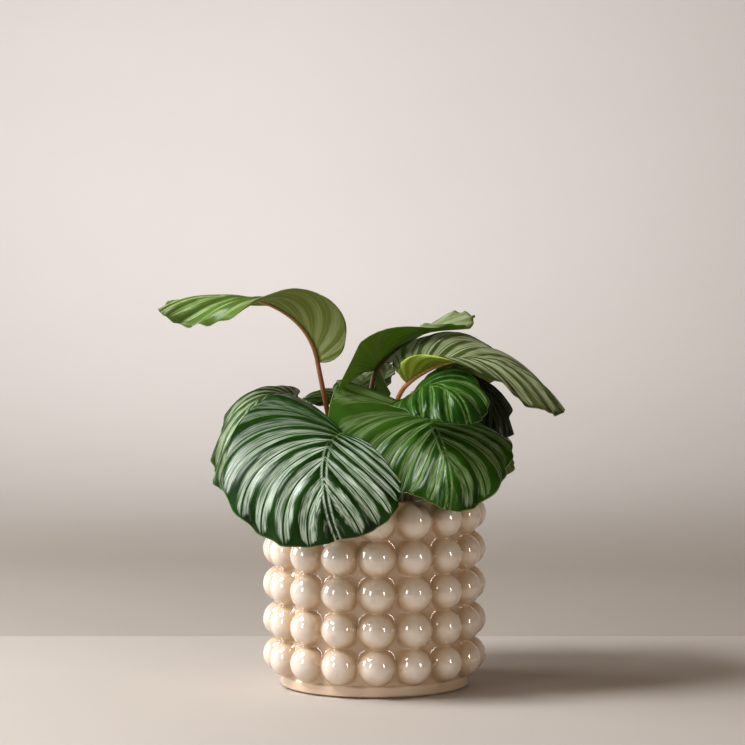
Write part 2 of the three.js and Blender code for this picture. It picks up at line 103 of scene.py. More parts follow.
BAND_BULGE = 6  # the glaze on the band is as pale as where a bubble stands this far out
pot_points, pot_bulge, pot_faces = [], [], []


def pot_patch(radius, turn, z):
    """Adds a ring-shaped grid of points to the pot, with how far each stands out of the wall."""
    start = sum(len(points) for points in pot_points)
    numbers = start + np.arange(radius.size).reshape(radius.shape)
    bulge = np.maximum(radius - WALL_RADIUS, np.where(z < BAND_TOP, BAND_BULGE, 0))
    pot_points.append(round_axis(radius, turn, z).reshape(-1, 3))
    pot_bulge.append(bulge.reshape(-1))
    pot_faces.extend(sheet(numbers, closed=True))


# Each bubble is a patch of rings, from its crown out to the sides of its square cell.
CELL_STEPS = 10  # steps along each side of the cell
DOME_RINGS = 12
DOME_LEAN = 80  # degrees from the crown to the last ring on the dome
DOME_SHARE = 0.975  # of the way to the cell's side, where the dome ends at the latest
GROOVE_RINGS = 4
half_wide = COLUMN_TURN / 2 * WALL_RADIUS
half_high = ROW_PITCH / 2
along_side = np.linspace(-1, 1, CELL_STEPS, endpoint=False)
at_side = np.ones(CELL_STEPS)
edge_x = np.concatenate([at_side, -along_side, -at_side, along_side]) * half_wide
edge_y = np.concatenate([along_side, at_side, -along_side, -at_side]) * half_high
to_side = np.hypot(edge_x, edge_y)
dome = np.minimum(BUBBLE_RADIUS, to_side * DOME_SHARE)
lean = np.radians(np.linspace(0, DOME_LEAN, DOME_RINGS + 1))
rings = [dome * math.sin(angle) / to_side for angle in lean]
for k in range(1, GROOVE_RINGS + 1):
    rings.append(rings[DOME_RINGS] + (1 - rings[DOME_RINGS]) * k / GROOVE_RINGS)
cell_x = np.array(rings) * edge_x
cell_y = np.array(rings) * edge_y
front = math.radians(BUBBLE_TURN - 90)
for row in range(ROWS):
    z = FIRST_ROW_Z + row * ROW_PITCH + cell_y
    radius = side_radius(cell_x / WALL_RADIUS, z)
    for column in range(COLUMNS):
        turn = front + column * COLUMN_TURN + cell_x / WALL_RADIUS
        pot_patch(radius[::-1], turn[::-1], z[::-1])

# Above and below the bubbles, rings of points run on from the sides of the cells.
spokes = np.arange(COLUMNS * CELL_STEPS)
from_column = (spokes % CELL_STEPS) / CELL_STEPS * COLUMN_TURN - COLUMN_TURN / 2
spoke_turn = front + spokes // CELL_STEPS * COLUMN_TURN + from_column
bottom = FIRST_ROW_Z - half_high
top = bottom + ROWS * ROW_PITCH


def side_rings(heights):
    """Rings on the glazed side, as pairs of radii and a height."""
    return [(side_radius(from_column, np.full(spokes.shape, height)), height) for height in heights]


def add_rings(profile):
    """Adds rings to the pot from pairs of a radius, or radii, and a height."""
    radius = np.array([np.broadcast_to(r, spokes.shape) for r, _ in profile], float)
    z = np.array([np.broadcast_to(height, spokes.shape) for _, height in profile], float)
    pot_patch(radius, np.broadcast_to(spoke_turn, radius.shape), z)


# From the middle of the bare foot, round its edge and out under the band.
underside = [(0, 0), (FOOT_RADIUS - 8, 0), (FOOT_RADIUS - 0.5, 0), (FOOT_RADIUS, 0.4),
             (FOOT_RADIUS, FOOT_HEIGHT), (WALL_RADIUS, FOOT_HEIGHT),
             (WALL_RADIUS + BAND - 0.2, FOOT_HEIGHT + 0.2)]
base_band = side_rings([1.95, 3, 5, 7, 8.4, 9, BAND_TOP, 9.7, 9.95, 10.2, 10.4, bottom])
add_rings(underside + base_band)
shoulder = side_rings([top, top + 0.25, top + 0.5])
lip_outside, lip_start = shoulder[-1]
lip_middle = (WALL_RADIUS + INNER_RADIUS) / 2
lip = []
for angle in np.radians(np.arange(15, 91, 15)):
    lip.append((lip_middle + (lip_outside - lip_middle) * math.cos(angle),
                lip_start + (POT_HEIGHT - lip_start) * math.sin(angle)))
for angle in np.radians(np.arange(75, -1, -15)):
    lip.append((lip_middle - (lip_middle - INNER_RADIUS) * math.cos(angle),
                POT_HEIGHT - LIP_ROUND + LIP_ROUND * math.sin(angle)))
ABOVE_SOIL = 140
inside_wall = [(INNER_RADIUS, ABOVE_SOIL), (INNER_RADIUS, POT_FLOOR + FLOOR_ROUND),
               (INNER_RADIUS - FLOOR_ROUND, POT_FLOOR), (0, POT_FLOOR)]
add_rings(shoulder + lip + inside_wall)


def linear(code):
    """An sRGB hex colour as the linear one that a shader takes."""
    shares = [int(code[i : i + 2], 16) / 255 for i in (1, 3, 5)]
    return (*(c / 12.92 if c <= 0.04045 else ((c + 0.055) / 1.055) ** 2.4 for c in shares), 1)


def add(tree, kind, inputs=(), out=0, stops=(), **settings):
    """A node with its settings, the stops of its ramp, and a value or a link for each input named
    or numbered. It gives back the output named or numbered by out."""
    made = tree.nodes.new(kind)
    for name, value in settings.items():
        setattr(made, name, value)
    for i, (place, colour) in enumerate(stops):
        if i > 1:
            made.color_ramp.elements.new(place)
        tone = linear(colour) if isinstance(colour, str) else (colour, colour, colour, 1)
        made.color_ramp.elements[i].position = place
        made.color_ramp.elements[i].color = tone
    for name, value in dict(inputs).items():
        if isinstance(value, bpy.types.NodeSocket):
            tree.links.new(value, made.inputs[name])
        else:
            made.inputs[name].default_value = value
    return made.outputs[out]


def material(name, **sockets):
    """A new material with the plain values of its surface, and its nodes."""
    made = bpy.data.materials.new(name)
    made.use_nodes = True
    surface = made.node_tree.nodes["Principled BSDF"]
    for socket, value in sockets.items():
        surface.inputs[socket.replace("_", " ")].default_value = value
    return made, made.node_tree, surface


# Glazed earthenware: a glassy cream coat, paler where it runs thin over a crown and a warm tan
# where it lies thick in a groove, with a faint mottle and the slight ripple of a dipped glaze.
CROWN = 13  # how far out of the wall the glaze is palest
MOTTLE = 9  # between the patches of thicker glaze
RIPPLE = 6  # between the soft waves of a dipped glaze
MIX = dict(kind="ShaderNodeMix", data_type="RGBA", out=2)  # inputs 0 share, 6 and 7 the colours
glaze, tree, surface = material("cream_dipped_glaze", Roughness=0.05, IOR=2.0, Metallic=0.04)
bulge = add(tree, "ShaderNodeAttribute", out="Fac", attribute_name="bulge")
thinness = add(tree, "ShaderNodeMapRange", {"Value": bulge, "From Max": CROWN})
cream = add(tree, "ShaderNodeValToRGB", {"Fac": thinness},
            stops=[(0, "#bc9e7e"), (0.3, "#c8ac8c"), (0.65, "#d8c2a9"), (1, "#e8dacb")])
place = add(tree, "ShaderNodeTexCoord", out="Object")
mottle = add(tree, "ShaderNodeTexNoise",
             {"Vector": place, "Scale": 1 / (MOTTLE * MM), "Detail": 3})
patches = add(tree, "ShaderNodeMapRange",
              {"Value": mottle, "From Min": 0.45, "From Max": 0.75, "To Max": 0.3})
mottled = add(tree, inputs={0: patches, 6: cream, 7: linear("#cbae92")}, **MIX)
tree.links.new(mottled, surface.inputs["Base Color"])
ripple = add(tree, "ShaderNodeTexNoise",
             {"Vector": place, "Scale": 1 / (RIPPLE * MM), "Detail": 1})
waves = add(tree, "ShaderNodeBump", {"Height": ripple, "Strength": 0.12, "Distance": 0.4 * MM})
tree.links.new(waves, surface.inputs["Normal"])

# The bare foot: fired earthenware without glaze, a dry warm buff with a fine grit in it.
GRIT = 0.8  # drawn coarser than the real clay's so that it shows
bare_clay, tree, surface = material("bare_earthenware", Roughness=0.85)
place = add(tree, "ShaderNodeTexCoord", out="Object")
grit = add(tree, "ShaderNodeTexNoise", {"Vector": place, "Scale": 1 / (GRIT * MM), "Detail": 2})
buff = add(tree, "ShaderNodeValToRGB", {"Fac": grit}, stops=[(0.3, "#a98c70"), (0.7, "#cdb297")])
tree.links.new(buff, surface.inputs["Base Color"])


def shape(name, places, values, faces, *finishes, replaces, slot):
    """A smooth mesh from points in millimetres that stands for a solid of the frame. Points at one
    place are joined, and each keeps its values for the materials to read."""
    _, first, number = np.unique(np.round(places, 4), axis=0, return_index=True,
                                 return_inverse=True)
    number = number.reshape(-1)
    kept = []
    for face in faces:
        corners = [n for i, n in enumerate(number[face]) if n != number[face[i - 1]]]
        if len(set(corners)) > 2:
            kept.append([int(n) for n in corners])
    mesh = bpy.data.meshes.new(name)
    mesh.from_pydata((places[first] * MM).tolist(), [], kept)
    for key, value in values.items():
        attribute = mesh.attributes.new(key, "FLOAT", "POINT")
        attribute.data.foreach_set("value", value[first].astype(np.float32))
    for finish in finishes:
        mesh.materials.append(finish)
    mesh.shade_smooth()
    made = bpy.data.objects.new(name, mesh)
    bpy.context.scene.collection.objects.link(made)
    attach(made, "root")
    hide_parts(replaces)
    return made


pot = shape("bubble_pot", np.concatenate(pot_points), {"bulge": np.concatenate(pot_bulge)},
            pot_faces, glaze, bare_clay, replaces="pot", slot="cream_glaze")
for polygon in pot.data.polygons:
    if polygon.center.z < FOOT_HEIGHT * MM:
        polygon.material_index = 1

# ---- The soil
# Moist peat and composted bark, pressed in round the roots to just under the rim. It is crumbled
# by hand, so its top is lumpy and nearly black.
SOIL_TOP = 139
SOIL_GAP = 0.3  # to the pot's wall and floor
SOIL_LUMP = 1.2  # height of the broad lumps
CLOD = 5  # across a group of crumbs
CLOD_HEIGHT = 0.9
SOIL_SPOKES = 200
SOIL_RINGS = 70
soil_radius = INNER_RADIUS - SOIL_GAP
soil_bottom = POT_FLOOR + SOIL_GAP
soil_turns = np.linspace(0, 2 * math.pi, SOIL_SPOKES, endpoint=False)
radius, turn = np.meshgrid(np.linspace(0, soil_radius, SOIL_RINGS), soil_turns, indexing="ij")
x, y = radius * np.cos(turn), radius * np.sin(turn)
clods = [noise.fractal(Vector((a / CLOD, b / CLOD, 0)), 0.6, 2.2, 4)
         for a, b in zip(x.flat, y.flat)]
lumps = SOIL_LUMP * np.sin(x / 7 + 1) * np.cos(y / 6)  # each about 20 across
z = SOIL_TOP + lumps + CLOD_HEIGHT * np.array(clods).reshape(x.shape)
soil_points = [*np.stack([x, y, z], axis=-1)]
for ring_radius in (soil_radius, 0):
    level = np.full(SOIL_SPOKES, soil_bottom)
    soil_points.append(round_axis(np.full(SOIL_SPOKES, ring_radius), soil_turns, level))
soil_numbers = np.arange(len(soil_points) * SOIL_SPOKES).reshape(-1, SOIL_SPOKES)

# Moist peat: dull and nearly black, with paler fibres of bark between crumbs.
CRUMB = 3  # a crumb of peat
peat, tree, surface = material("moist_peat", Roughness=0.95)
place = add(tree, "ShaderNodeTexCoord", out="Object")
crumbs = add(tree, "ShaderNodeTexVoronoi", {"Vector": place, "Scale": 1 / (CRUMB * MM)})
fibres = add(tree, "ShaderNodeTexNoise",
             {"Vector": place, "Scale": 1 / (CRUMB / 2 * MM), "Detail": 5})
brown = add(tree, "ShaderNodeValToRGB", {"Fac": fibres},
            stops=[(0.25, "#17110c"), (0.55, "#2e231a"), (0.8, "#54412f")])
tree.links.new(brown, surface.inputs["Base Color"])
rough = add(tree, "ShaderNodeBump", {"Height": crumbs, "Strength": 0.8, "Distance": 1.5 * MM})
tree.links.new(rough, surface.inputs["Normal"])
shape("potting_soil", np.concatenate(soil_points), {}, sheet(soil_numbers, closed=True, flip=True),
      peat, replaces="soil", slot="potting_soil")

# ---- The stalks
# Living stalks, round and firm, that come out of the soil, arch over and run on under the blades
# as their midribs, thinner and thinner to the tip. Most of them are green, and the upper part of
# the young ones is flushed orange-brown.
STALK_RADIUS = 2.6  # at the soil
NECK_RADIUS = 1.9  # where the stalk meets the blade
RIB_TIP_RADIUS = 0.4
RIB_END = 0.985  # share of the blade's length where its midrib ends
HOLE_DEPTH = 20
FOOT_GAP = 0.3  # under the stalk's foot in its hole, and over the lumps where the stalk comes out
RIB_STANDS_OFF = 0.85  # share of a midrib's radius between its middle and the blade
BLADE_THICKNESS = 0.5
STALK_SIDES = 16
RISE_STEPS = 39
RIB_STEPS = 60
RIB_SAMPLES = 400  # for measuring along a blade's middle line

# A leaf is given from its base to its tip, with the upper face on top:
# foot   where the stalk stands in the soil
# rise   two points that steer the stalk, on its way to the blade
# rib    four points that steer the blade's middle line
# face   the way that the upper face looks at the base, the middle and the tip
# right, left   the blade's halves, each with its
#     width   from the rib to the edge
#     fold    degrees up from the rib, at the base, the middle and the tip
#     curl    degrees that it turns up on its way out, at the same three places
#     taper   where its outline starts to narrow, by how much, and the power of its curve
#     lobe    how far it reaches back past the base, as a share of the length
#     sweep   how far its middle is drawn forward, as a share of the length
# wave   the height of the edge's waves, their number and where they start
# veins  the number of side veins in each half, where it isn't the usual one
# crowd  the share of them that is crowded into the lobes, where it isn't the usual one
PLAIN_HALF = dict(fold=[0, 0, 0], curl=[-10, -25, -15], taper=[0.8, 0.25, 2], lobe=0.1, sweep=0)
LEAVES = [
    dict(  # the big striped leaf at the front left
        foot=[-12, -12], rise=[[-30, -8, 160], [-46, -38, 196]],
        rib=[[-24, -50, 207], [-41, -88, 210], [-45, -130, 173], [-28, -122, 131]],
        face=[[-0.3, -0.6, 0.7], [-0.2, -0.8, 0.5], [-0.1, -1, 0.3]],
        right=dict(width=85, fold=[42, 8, 0], curl=[-35, -25, -25], taper=[0.5, 0.3, 1], lobe=0.2),
        left=dict(width=60, fold=[-15, -8, 0], curl=[-20, -30, -15], lobe=0.02, sweep=0.2),
        wave=[2, 3, 0.2]),
    dict(  # the big leaf at the front right
        foot=[24, 0], rise=[[26, 4, 170], [39, 6, 222]],
        rib=[[44, -15, 219], [45, -58, 212], [64, -98, 185], [56, -94, 151]],
        face=[[0, -0.6, 0.7], [0.1, -0.8, 0.5], [0.2, -1, 0.3]],
        right=dict(width=114, fold=[25, -30, -20], curl=[-10, -25, -45], taper=[0.2, 0.7, 0.7],
                   lobe=0.14),
        left=dict(width=64, fold=[-5, 0, 0], curl=[-20, -35, -25], taper=[0.45, 0.4, 1], lobe=0.18),
        crowd=0.55, wave=[3, 3, 0.2]),
    dict(  # the small leaf above it
        foot=[17, -13], rise=[[26, 2, 190], [32, 16, 250]],
        rib=[[29, -50, 236], [38, -68, 252], [66, -90, 253], [73, -98, 218]],
        face=[[0, -0.6, 0.8], [0.15, -0.7, 0.6], [0.3, -0.8, 0.4]],
        right=dict(width=34, fold=[20, 0, 0], curl=[10, -25, -30]),
        left=dict(width=33, fold=[5, -5, -10], curl=[-10, -25, -25]),
        veins=7, wave=[2, 3, 0.2]),
    dict(  # the arching leaf at the upper right, its near half folded up at the base
        foot=[5, -15], rise=[[7, -4, 180], [12, 6, 230]],
        rib=[[25, -28, 246], [54, -36, 271], [112, -26, 281], [151, -26, 222]],
        face=[[0, -0.5, 0.8], [0.12, -0.4, 0.9], [0.3, -0.2, 1]],
        right=dict(width=34, fold=[90, 10, -10], curl=[10, -20, -40], lobe=0),
        left=dict(width=50, fold=[10, 0, -20], curl=[-10, -30, -45], taper=[0.62, 0.8, 0.8],
                  lobe=0.1),
        wave=[3, 3, 0.2]),
    dict(  # the top leaf, which shows its dark underside
        foot=[4, 6], rise=[[0, 2, 180], [-8, 0, 240]],
        rib=[[0, 8, 253], [12, 19, 273], [44, 50, 284], [73, 68, 298]],
        face=[[-0.7, 0.6, 0.25], [-0.45, 0, 0.85], [-0.4, -0.25, 0.85]],
        right=dict(width=45, curl=[-10, -10, -10], lobe=0.46),
        left=dict(width=36, lobe=0.4),
        wave=[2.8, 3, 0.3]),
    dict(  # the leaf in shadow at the right
        foot=[28, 14], rise=[[32, 18, 180], [40, 4, 226]],
        rib=[[53, 20, 235], [79, 19, 252], [98, 17, 242], [101, 8, 195]],
        face=[[0, -0.2, 1], [0.4, -0.4, 0.8], [0.7, -0.6, 0.4]],
        right=dict(width=29, fold=[10, 0, 0]),
        left=dict(width=26),
        wave=[3, 4, 0.2]),
    dict(  # the tall leaf that arches over to the left
        foot=[-18, -2], rise=[[-30, 2, 180], [-38, 6, 220]],
        rib=[[-44, 5, 260], [-56, 0, 322], [-140, -8, 324], [-172, -18, 303]],
        face=[[0.6, 0.75, 0.1], [-0.1, 0.2, 1], [-0.45, -0.35, 0.8]],
        right=dict(width=54, fold=[110, 10, -15], curl=[-10, -10, -5], taper=[0.4, 0.6, 1], lobe=0),
        left=dict(width=64, fold=[-16, -9, -75], curl=[-5, -5, -15], taper=[0.35, 0.65, 0.8],
                  lobe=0),
        wave=[3, 3, 0.2]),
    dict(  # the leaf that hangs over the rim at the left
        foot=[-26, 8], rise=[[-30, 12, 170], [-46, 13, 224]],
        rib=[[-62, 10, 232], [-90, 3, 243], [-108, -8, 232], [-120, -18, 158]],
        face=[[-0.3, -0.3, 0.9], [-0.55, -0.45, 0.55], [-0.85, -0.6, 0.2]],
        right=dict(width=34),
        left=dict(width=26),
        wave=[3, 4, 0.2]),
    dict(  # a small leaf at the back left
        foot=[-12, 18], rise=[[-18, 14, 170], [-26, 16, 215]],
        rib=[[-30, 30, 226], [-33, 55, 238], [-38, 80, 240], [-40, 98, 222]],
        face=[[0, -0.2, 1], [-0.15, 0.1, 0.95], [-0.3, 0.5, 0.8]],
        right=dict(width=30),
        left=dict(width=26),
        veins=7, wave=[2, 3, 0.2]),
    dict(  # a pale leaf behind the top one
        foot=[8, 24], rise=[[6, 20, 170], [-10, 12, 216]],
        rib=[[-10, 26, 231], [-12, 48, 242], [-6, 72, 252], [4, 102, 254]],
        face=[[-0.1, -0.2, 1], [-0.1, -0.2, 1], [0, -0.1, 1]],
        right=dict(width=22),
        left=dict(width=26),
        veins=7, wave=[2, 3, 0.2]),
    dict(  # the leaf below the arching one at the upper right
        foot=[18, 18], rise=[[22, 22, 170], [38, 30, 218]],
        rib=[[46, 36, 236], [58, 42, 256], [84, 48, 262], [104, 52, 245]],
        face=[[0, 0.6, 0.7], [0.1, 0.75, 0.65], [0.3, 0.6, 0.6]],
        right=dict(width=16),
        left=dict(width=30),
        veins=7, wave=[2, 3, 0.2]),
    dict(  # the back left leaf
        foot=[-20, 26], rise=[[-24, 28, 165], [-26, 24, 205]],
        rib=[[-34, 34, 205], [-62, 62, 222], [-88, 92, 206], [-92, 104, 160]],
        face=[[0, 0.1, 1], [-0.3, 0.4, 0.6], [-0.6, 0.7, 0.2]],
        right=dict(width=40, fold=[5, 0, 0], lobe=0.12),
        left=dict(width=40, fold=[5, 0, 0], lobe=0.12),
        wave=[3, 4, 0.5]),
    dict(  # the back leaf
        foot=[0, 32], rise=[[0, 32, 165], [2, 30, 208]],
        rib=[[2, 44, 214], [4, 84, 234], [2, 120, 216], [-2, 122, 160]],
        face=[[0, 0, 1], [0, 0.5, 0.6], [0, 1, 0.2]],
        right=dict(width=36, fold=[5, 0, 0], lobe=0.12),
        left=dict(width=36, fold=[5, 0, 0], lobe=0.12),
        wave=[3, 4, 0.1]),
    dict(  # the back right leaf
        foot=[24, 28], rise=[[30, 34, 165], [36, 34, 196]],
        rib=[[40, 46, 202], [66, 74, 218], [93, 94, 202], [97, 102, 156]],
        face=[[0, 0.1, 1], [0.3, 0.4, 0.6], [0.6, 0.7, 0.2]],
        right=dict(width=40, fold=[5, 0, 0], lobe=0.12),
        left=dict(width=40, fold=[5, 0, 0], lobe=0.12),
        wave=[3, 4, 0.8]),
]


def unit(v):
    """The same directions with a length of one."""
    return v / np.linalg.norm(v, axis=-1, keepdims=True)


def between(ends, s):
    """A value given at the base, the middle and the tip, eased between them."""
    base, middle, tip = ends
    return base * (1 - s) * (1 - 2 * s) + 4 * middle * s * (1 - s) + tip * s * (2 * s - 1)


def arch(ends, t):
    """The points of a curve steered by four points, and its direction there."""
    a, b, c, d = (np.array(p, float) for p in ends)
    t = np.asarray(t, float)[..., None]
    k = 1 - t
    along = k * k * (b - a) + 2 * k * t * (c - b) + t * t * (d - c)
    return k**3 * a + 3 * k * k * t * b + 3 * k * t * t * c + t**3 * d, unit(along)


def rib_samples(leaf):
    """Even steps on the curve of the middle line, and how far along the line each one lies."""
    t = np.linspace(0, 1, RIB_SAMPLES)
    line, _ = arch(leaf["rib"], t)
    return t, np.concatenate([[0], np.cumsum(np.linalg.norm(np.diff(line, axis=0), axis=1))])


def rib_frame(leaf, s):
    """The middle line at a share of its length: the point, and the ways up and to the right."""
    t, done = rib_samples(leaf)
    inside = np.clip(s, 0, 1)
    point, along = arch(leaf["rib"], np.interp(inside, done / done[-1], t))
    point = point + along * ((s - inside) * done[-1])[..., None]
    base, middle, tip = (unit(np.array(f, float)) for f in leaf["face"])
    up = between((base, middle, tip), inside[..., None])
    up = unit(up - along * np.sum(up * along, axis=-1, keepdims=True))
    return point, up, np.cross(along, up)


def under_blade(leaf, s, radius):
    """The middle of a midrib of this radius, in the fold under the blade."""
    point, up, right = rib_frame(leaf, s)
    halves = [{**PLAIN_HALF, **leaf[side]} for side in ("right", "left")]
    right_fold, left_fold = (np.radians(between(half["fold"], s)) for half in halves)
    room = np.minimum((math.pi + right_fold + left_fold) / 2, math.pi / 2)
    depth = (BLADE_THICKNESS / 2 + RIB_STANDS_OFF * radius) / np.sin(room)
    tilt = (right_fold - left_fold) / 2
    return point - up * (depth * np.cos(tilt))[:, None] + right * (depth * np.sin(tilt))[:, None]


# Stalk skin: a satin plant skin with small dark flecks and a fine fuzz. Its colour changes from the
# soil to the blade and along the midrib.
FLECK = 1.5  # between the flecks
GREEN_STALK = ("#5b4a2a", "#6d7a3a", "#7f9448")
FLUSHED_STALKS = {
    4: ("#8a4a26", "#c98a52", "#b8a356"),
    5: ("#4a3420", "#6a4a2c", "#5a6a30"),
    7: ("#7a3b26", "#b0693f", "#b08a4e"),
}
rib_shares = np.linspace(0, RIB_END, RIB_STEPS)
rib_radii = NECK_RADIUS + (RIB_TIP_RADIUS - NECK_RADIUS) * rib_shares**0.7
stalk_radii = [STALK_RADIUS, *np.linspace(STALK_RADIUS, NECK_RADIUS, RISE_STEPS), *rib_radii]
stalk_shares = [0, 0, *np.linspace(0, 0.5, RISE_STEPS), *(0.5 + rib_shares / 2), 1]
stalk_turns = np.linspace(0, 2 * math.pi, STALK_SIDES, endpoint=False)[:, None]
for number, leaf in enumerate(LEAVES, 1):
    at_soil, at_blade, midrib = FLUSHED_STALKS.get(number, GREEN_STALK)
    stalk, tree, surface = material(f"calathea_stalk_{number}", Roughness=0.42)
    along = add(tree, "ShaderNodeAttribute", out="Fac", attribute_name="along")
    tones = add(tree, "ShaderNodeValToRGB", {"Fac": along},
                stops=[(0, at_soil), (0.5, at_blade), (0.62, midrib), (1, midrib)])
    place = add(tree, "ShaderNodeTexCoord", out="Object")
    flecks = add(tree, "ShaderNodeTexNoise",
                 {"Vector": place, "Scale": 1 / (FLECK * MM), "Detail": 4})
    fleck = add(tree, "ShaderNodeMapRange",
                {"Value": flecks, "From Min": 0.5, "From Max": 0.7, "To Max": 0.4})
    flecked = add(tree, inputs={0: fleck, 6: tones, 7: linear("#4a2c18")}, **MIX)
    tree.links.new(flecked, surface.inputs["Base Color"])
    fuzz = add(tree, "ShaderNodeBump", {"Height": flecks, "Strength": 0.3, "Distance": 0.3 * MM})
    tree.links.new(fuzz, surface.inputs["Normal"])

    x, y = leaf["foot"]
    rib_line = under_blade(leaf, rib_shares, rib_radii)
    comes_out = [x, y, SOIL_TOP + 2 * SOIL_LUMP + FOOT_GAP]
    rise_shares = np.linspace(0, 1, RISE_STEPS, endpoint=False)
    rising, _ = arch([comes_out, *leaf["rise"], rib_line[0]], rise_shares)
    path = np.concatenate([[[x, y, SOIL_TOP - HOLE_DEPTH + FOOT_GAP]], rising, rib_line])
    first = np.array([1.0, 0, 0])
    rows = [np.repeat(path[:1], STALK_SIDES, axis=0)]
    for centre, way, radius in zip(path, unit(np.gradient(path, axis=0)), stalk_radii):
        first = unit(first - way * first.dot(way))
        second = np.cross(way, first)
        rows.append(centre + radius * (first * np.cos(stalk_turns) + second * np.sin(stalk_turns)))
    rows.append(np.repeat(path[-1:], STALK_SIDES, axis=0))
    numbers = np.arange(len(rows) * STALK_SIDES).reshape(-1, STALK_SIDES)
    shape(f"stalk_{number}", np.concatenate(rows), {"along": np.repeat(stalk_shares, STALK_SIDES)},
          sheet(numbers, closed=True), stalk, replaces=f"leaf_{number}_stalk", slot="stalk")

# ---- The blades
# Leathery leaves about half a millimetre thick. Each side vein lies in a shallow valley between
# two silver bands, the ground between the pairs stays dark green, and the bands end short of a
# thin pale edge. The underside is a plain olive green with the veins showing a little lighter.
VEINS = 10  # side veins in each half of a blade
CROWD = 0.35  # share of the veins that is crowded into the lobes at the base
PLEAT = 1.1  # height of the ridges between the veins
SCALLOP = 1.1  # how far the margin swells and draws in between the ends of the veins
FLAT = 1e-6  # radians per millimetre, a curl too small to divide by
V_STEPS = 12 * VEINS  # steps along the rib
T_STEPS = 24  # steps from the rib to the edge


def root_share(v):
    """How far along the rib the side vein leaves it, closer together towards the base."""
    return 0.66 * v**1.35 + 0.34 * v**9


def vein_count(leaf, v):
    """The number of side veins up to v, closer together in the lobes at the base."""
    crowd = leaf.get("crowd", CROWD)
    return leaf.get("veins", VEINS) * (crowd * v**0.3 + (1 - crowd) * v**0.85)


def flat_half(half, length, v, t):
    """The flat outline of half a blade, as x out from the rib and y along it, at share t of the way
    along the side vein v. The vein leaves the rib at a slant and bends forward to the edge."""
    m = v**0.52
    start, amount, power = half["taper"]
    narrowing = 1 - amount * np.clip((m - start) / (1 - start), 0, 1) ** power
    edge_x = half["width"] * np.clip(np.sin(math.pi * m), 0, 1) ** 0.78 * narrowing
    notch = half["lobe"] * np.clip(np.sin(math.pi * np.clip(m / 0.45, 0, 1)), 0, 1) ** 1.5
    forward = (0.5 - 0.5 * np.cos(math.pi * m)) ** 1.02 + half["sweep"] * np.sin(math.pi * m)
    root_y = length * root_share(v)
    rise = length * (forward - notch) - root_y
    k = 1 - t
    x = edge_x * (0.95 * k * k * t + 2.82 * k * t * t + t**3)
    y = root_y + rise * (0.7 * k * k * t + 1.35 * k * t * t + t**3)
    return x, y


def blade_points(leaf, side, v, t):
    """The same places on the grown blade, folded at the rib, curled, pleated and waved at its edge,
    with how far each one is from the rib."""
    half = {**PLAIN_HALF, **leaf["right" if side > 0 else "left"]}
    length = rib_samples(leaf)[1][-1]
    x, y = flat_half(half, length, v, t)
    point, up, right = rib_frame(leaf, y / length)
    inside = np.clip(y / length, 0, 1)
    fold = np.radians(between(half["fold"], inside))
    bend = np.radians(between(half["curl"], inside)) / half["width"]
    bend = np.where(np.abs(bend) < FLAT, 10 * FLAT, bend)
    angle = fold + bend * x
    height, count, start = leaf["wave"]
    phase = 2 * math.pi * (count * v + start + (0.4 if side < 0 else 0))
    away_from_ends = np.clip(np.sin(math.pi * v), 0, 1)
    wave = height * t**2.5 * np.sin(phase) * away_from_ends**0.3
    ruffle = 0.35 * height * t**4 * np.sin(2.7 * phase + 1) * away_from_ends
    veins = vein_count(leaf, v)
    pleat = -PLEAT * 4 * t * (1 - t) * np.cos(2 * math.pi * veins) * np.clip(v / 0.02, 0, 1)
    raised = wave + ruffle + pleat
    swell = SCALLOP * t**8 * np.sin(math.pi * veins + phase) * np.clip(3 * away_from_ends, 0, 1)
    out = (np.sin(angle) - np.sin(fold)) / bend - np.sin(angle) * raised + np.cos(angle) * swell
    lift = (np.cos(fold) - np.cos(angle)) / bend + np.cos(angle) * raised + np.sin(angle) * swell
    return point + right * (side * out)[..., None] + up * lift[..., None], x


